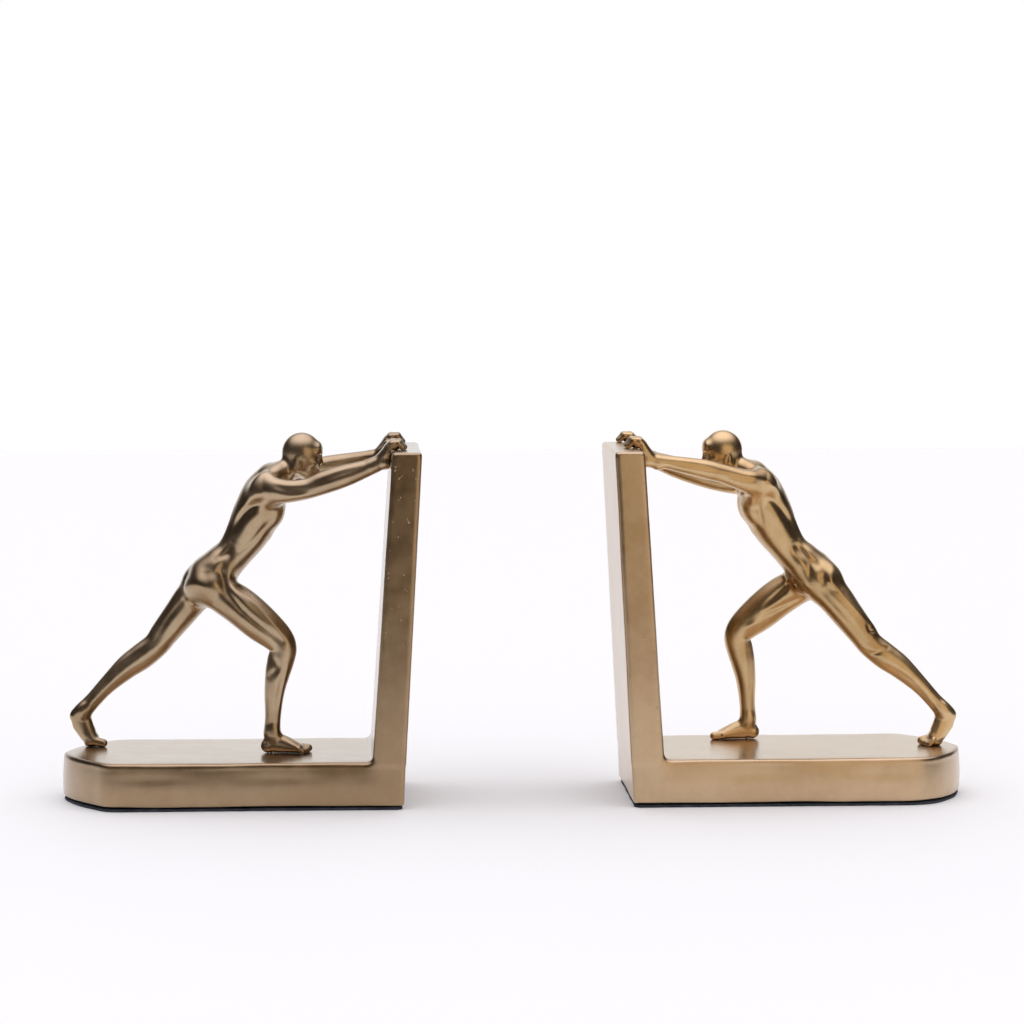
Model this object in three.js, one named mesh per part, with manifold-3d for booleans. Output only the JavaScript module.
// A pair of cast book ends. Each one is an L-shaped casting on a foam pad, with a bare
// athletic figure that braces its feet on the plinth and pushes the upright wall towards
// the books. The two castings are the same shape, turned 180 degrees about Z.
// Millimetres, +Z up, +X along the pair, origin at the bottom centre of the pair at rest.
import * as THREE from "three";
import { mergeVertices } from "three/addons/utils/BufferGeometryUtils.js";
import Module from "manifold-3d";

const wasm = await Module();
wasm.setup();

// ---- driving dimensions -------------------------------------------------------------

const glueGap = 0.3; // film of adhesive between touching pieces
const padThickness = 1.2;
const padInset = 0.8; // the pad stops short of the casting's edge

const baseDepth = 78; // across the shelf, along Y
const endX = -206.5; // rounded outer end of the left plinth
const plinthTop = 21.7;
const edgeRound = 1.5; // soft cast edges
const creaseX = -185.3; // the long sides turn in here towards the rounded end
const slantEndX = -202;
const slantEndY = 17.8;
const endCurveY = 11.8; // where the slanting sides would meet the end
const endFlatHalf = 5;

const wallTop = 160;
const bookFaceFootX = -51.2; // face against the books, at the bottom of the casting
const bookFaceTopX = -42.7; // the wall leans towards the books
const backFaceFootX = -65.5; // the wall's other face, at the top of the plinth
const backFaceTopX = -56.3;
const footFillet = 2.5;

const pinRadius = 1.25;
const pinLow = 11.7;

const figureShiftLeft = 4; // the figures are glued a little off the middle of their bases
const figureShiftRight = -12; // in the turned frame of the right book end

// Joint centres of the figure on the left base: X, Y from the figure's middle plane, Z.
const skull = [-97, 0, 158.4];
const crown = [-98, 0, 158];
const jaw = [-91.8, 0, 149.8];
const neckTop = [-101.5, 0, 153];
const neckRoot = [-110.5, 0, 146.5];
const chestTop = [-114, 0, 138.5];
const ribs = [-117.5, 0, 128.5];
const waist = [-125.5, 0, 113.5];
const pelvis = [-136, 0, 100.5];
const seat = [-142, 0, 95.5];
const limbSides = 10;
const limbStep = 7;
const shoulderHalf = 15.5;
const hipHalf = 8;

const arms = {
  right: {
    shoulder: [-112, -17, 142.5],
    elbow: [-87, -20.5, 146.8],
    wrist: [-63.5, -22, 152.8],
    knuckles: [-57.5, -22, 163.2],
    fingertips: [-50.5, -22, 162.7],
  },
  left: {
    shoulder: [-112, 17, 143.5],
    elbow: [-87, 20.5, 149.2],
    wrist: [-65.5, 22, 153.2],
    knuckles: [-59, 22, 162.4],
    fingertips: [-53, 22, 162.2],
  },
};

const frontLeg = {
  hip: [-131.5, -8.6, 97],
  knee: [-105.2, -11.5, 70.2],
  ankle: [-110.5, -12, 31],
  heel: [-112.2, -12, 24.4],
  toe: [-96.8, -12.6, 23.6],
  pin: [-110.4, -12, 30.5], // X, Y and top
};
const rearLeg = {
  hip: [-139, 8.6, 96],
  knee: [-163.6, 11, 69.8],
  ankle: [-197, 12.8, 38.6],
  heel: [-200.6, 13, 36],
  ball: [-195.2, 13, 26.4],
  toe: [-189, 13.2, 23.6],
  pin: [-194.4, 13, 27],
};

// ---- materials ----------------------------------------------------------------------

const goldBase = () =>
  new THREE.MeshStandardMaterial({ color: 0xb08a4c, roughness: 0.42, metalness: 0.85 });
const goldFigure = () =>
  new THREE.MeshStandardMaterial({ color: 0xb9985c, roughness: 0.3, metalness: 0.9 });
const foam = () =>
  new THREE.MeshStandardMaterial({ color: 0x1b1b1c, roughness: 0.95, metalness: 0 });
const steel = () =>
  new THREE.MeshStandardMaterial({ color: 0x9a9da1, roughness: 0.35, metalness: 1 });

// ---- solids -------------------------------------------------------------------------

// A closed geometry, as a solid that can be joined and cut.
function solidOf(geometry) {
  const bare = geometry.clone();
  bare.deleteAttribute("normal");
  bare.deleteAttribute("uv");
  const merged = mergeVertices(bare, 1e-4);
  const index = merged.index.array;
  const kept = [];
  for (let i = 0; i < index.length; i += 3) {
    const [a, b, c] = [index[i], index[i + 1], index[i + 2]];
    if (a !== b && b !== c && c !== a) kept.push(a, b, c);
  }
  const mesh = new wasm.Mesh({
    numProp: 3,
    vertProperties: merged.attributes.position.array,
    triVerts: new Uint32Array(kept),
  });
  return new wasm.Manifold(mesh);
}

function geometryOf(solid) {
  const mesh = solid.getMesh();
  const geometry = new THREE.BufferGeometry();
  geometry.setAttribute("position", new THREE.BufferAttribute(mesh.vertProperties, 3));
  geometry.setIndex(new THREE.BufferAttribute(mesh.triVerts, 1));
  geometry.computeVertexNormals();
  return geometry;
}

const joined = (...solids) => solids.reduce((whole, next) => whole.add(next));

// ---- the L-shaped casting -----------------------------------------------------------

// Outline of the plinth seen from above, pulled in by inset.
function plinthOutline(inset, wallSideX) {
  const half = baseDepth / 2 - inset;
  const end = endX + inset;
  const crease = creaseX + 0.5 * inset;
  const turnX = slantEndX + 0.8 * inset;
  const turnY = slantEndY - 0.6 * inset;
  const outline = new THREE.Shape();
  outline.moveTo(wallSideX, -half);
  outline.lineTo(wallSideX, half);
  outline.lineTo(crease, half);
  outline.lineTo(turnX, turnY);
  outline.quadraticCurveTo(end, endCurveY, end, endFlatHalf);
  outline.lineTo(end, -endFlatHalf);
  outline.quadraticCurveTo(end, -endCurveY, turnX, -turnY);
  outline.lineTo(crease, -half);
  outline.closePath();
  return outline;
}

function slab(outline, low, high, bevel) {
  const geometry = new THREE.ExtrudeGeometry(outline, {
    depth: high - low - 2 * bevel,
    bevelEnabled: bevel > 0,
    bevelSize: bevel,
    bevelThickness: bevel,
    bevelOffset: -bevel,
    bevelSegments: 2,
    curveSegments: 8,
  });
  return solidOf(geometry.translate(0, 0, low + bevel));
}

// The leaning wall with the fillet at its foot, grown outwards by grow.
function wall(grow) {
  const bottom = padThickness + glueGap;
  const profile = new THREE.Shape();
  profile.moveTo(bookFaceFootX + grow, bottom - grow);
  profile.lineTo(bookFaceTopX + grow, wallTop + grow);
  profile.lineTo(backFaceTopX - grow, wallTop + grow);
  profile.lineTo(backFaceFootX - grow, plinthTop + footFillet + grow);
  profile.quadraticCurveTo(
    backFaceFootX - grow,
    plinthTop + grow,
    backFaceFootX - footFillet - grow,
    plinthTop + grow,
  );
  profile.lineTo(backFaceFootX - footFillet - grow, bottom - grow);
  profile.closePath();
  const width = baseDepth + 2 * grow;
  const geometry = new THREE.ExtrudeGeometry(profile, {
    depth: width - 2 * edgeRound,
    bevelEnabled: true,
    bevelSize: edgeRound,
    bevelThickness: edgeRound,
    bevelOffset: -edgeRound,
    bevelSegments: 2,
    curveSegments: 6,
  });
  geometry.rotateX(Math.PI / 2);
  return solidOf(geometry.translate(0, width / 2 - edgeRound, 0));
}

function casting() {
  const innerX = (bookFaceFootX + backFaceFootX) / 2;
  const plinth = slab(plinthOutline(0, innerX), padThickness + glueGap, plinthTop, edgeRound);
  return plinth.add(wall(0));
}

// ---- the figure ---------------------------------------------------------------------

// A round-ended limb from one joint to the next. Its radius runs smoothly through radii,
// and it is width times as wide along Y as it is deep.
function limb(from, to, radii, width = 1, grow = 0) {
  const start = new THREE.Vector3(...from);
  const end = new THREE.Vector3(...to);
  const length = start.distanceTo(end);
  const steps = Math.max(3, Math.round(length / limbStep));
  const samples = radii.map((r, i) => new THREE.Vector2(r + grow, (i / (radii.length - 1)) * length));
  const side = new THREE.SplineCurve(samples).getPoints(steps);
  const first = radii[0] + grow;
  const last = radii[radii.length - 1] + grow;
  const round = Math.SQRT1_2; // one point half way round each end
  const profile = [
    new THREE.Vector2(0, -first),
    new THREE.Vector2(first * round, -first * round),
    ...side,
    new THREE.Vector2(last * round, length + last * round),
    new THREE.Vector2(0, length + last),
  ];
  const geometry = new THREE.LatheGeometry(profile, limbSides);
  const along = end.clone().sub(start).normalize();
  const flank = new THREE.Vector3(0, 1, 0);
  if (Math.abs(along.y) > 0.9) flank.set(1, 0, 0);
  const across = new THREE.Vector3().crossVectors(along, flank).normalize();
  flank.crossVectors(across, along);
  geometry.scale(1, 1, width);
  geometry.applyMatrix4(new THREE.Matrix4().makeBasis(across, along, flank));
  return solidOf(geometry.translate(...from));
}

function trunk(grow) {
  const sideways = (point, y) => [point[0], y, point[2]];
  const shoulder = (y) => sideways([-112.5, 0, 142.8], y);
  return joined(
    limb(seat, pelvis, [8.2, 9.6, 9], 1.55, grow),
    limb(pelvis, waist, [9.2, 8.7, 8.4], 1.5, grow),
    limb(waist, ribs, [8.4, 9, 10.2], 1.5, grow),
    limb(ribs, chestTop, [10.2, 10.2, 8], 1.55, grow),
    limb(shoulder(-shoulderHalf), shoulder(shoulderHalf), [6.3, 6.6, 6.6, 6.3], 1, grow),
    limb(sideways(seat, -hipHalf), sideways(seat, hipHalf), [8.6, 8.2, 8.6], 1, grow),
    limb(neckRoot, neckTop, [5.8, 5.2, 5], 1.1, grow),
    limb(skull, crown, [8.6, 8.9], 0.86, grow),
    limb(skull, jaw, [7.6, 6.6, 4.4], 0.88, grow),
  );
}

function arm({ shoulder, elbow, wrist, knuckles, fingertips }) {
  return joined(
    limb(shoulder, elbow, [4.8, 5.6, 4.9, 4.4]),
    limb(elbow, wrist, [4.5, 4.9, 4.2, 3.2]),
    limb(wrist, knuckles, [3.1, 3.3, 2.7], 1.45),
    limb(knuckles, fingertips, [2.3, 2.2, 1.7], 2.1),
  );
}

function leg({ hip, knee, ankle, heel, ball, toe }) {
  const foot = ball
    ? [limb(heel, ball, [2.9, 3, 2.8], 1.35), limb(ball, toe, [2.8, 2.3, 1.9], 1.8)]
    : [limb(heel, toe, [3.2, 3, 2.2], 1.6), limb(ankle, toe, [3.2, 2.6, 1.8], 1.5)];
  return joined(
    limb(hip, knee, [7.4, 9.3, 8.1, 6.6]),
    limb(knee, ankle, [6.3, 6.1, 4.9, 3.6, 3.3]),
    limb(ankle, heel, [3.3, 3], 1.1),
    ...foot,
  );
}

// Everything above the plinth's glue film, to trim the soles flat.
function aboveSoles() {
  const box = new THREE.BoxGeometry(200, 100, 200);
  return solidOf(box.translate(-120, 0, plinthTop + glueGap + 100));
}

// A foot's steel pin, or with grow the hole that it is glued into.
function pinSolid([x, y, top], grow) {
  const height = top - pinLow + 2 * grow;
  const geometry = new THREE.CylinderGeometry(pinRadius + grow, pinRadius + grow, height, 12);
  geometry.rotateX(Math.PI / 2);
  return solidOf(geometry.translate(x, y, (pinLow + top) / 2));
}

// ---- one book end -------------------------------------------------------------------

function bookEnd(side, figureShift) {
  const group = new THREE.Group();
  const place = (name, solid, material) => {
    const mesh = new THREE.Mesh(geometryOf(solid), material);
    mesh.name = `${side}_${name}`;
    group.add(mesh);
  };
  const shifted = (solid) => solid.translate([0, figureShift, 0]);
  const legs = { front: frontLeg, rear: rearLeg };

  let base = casting();
  for (const { pin } of Object.values(legs))
    base = base.subtract(shifted(pinSolid(pin, glueGap)));
  place("base", base, goldBase());
  const padOutline = plinthOutline(padInset, bookFaceFootX - padInset);
  place("base_pad", slab(padOutline, 0, padThickness, 0), foam());

  const clearance = trunk(glueGap);
  place("trunk", shifted(trunk(0)), goldFigure());
  for (const [name, joints] of Object.entries(arms)) {
    const free = shifted(arm(joints).subtract(clearance)).subtract(wall(glueGap));
    place(`${name}_arm`, free, goldFigure());
  }
  for (const [name, joints] of Object.entries(legs)) {
    const trimmed = leg(joints).subtract(clearance).intersect(aboveSoles());
    place(`${name}_leg`, shifted(trimmed.subtract(pinSolid(joints.pin, glueGap))), goldFigure());
    place(`${name}_foot_pin`, shifted(pinSolid(joints.pin, 0)), steel());
  }
  return group;
}

// ---- the pair -----------------------------------------------------------------------

const pair = new THREE.Group();
pair.add(bookEnd("left", figureShiftLeft));
const turned = bookEnd("right", figureShiftRight);
turned.rotation.z = Math.PI;
pair.add(turned);

export default pair;
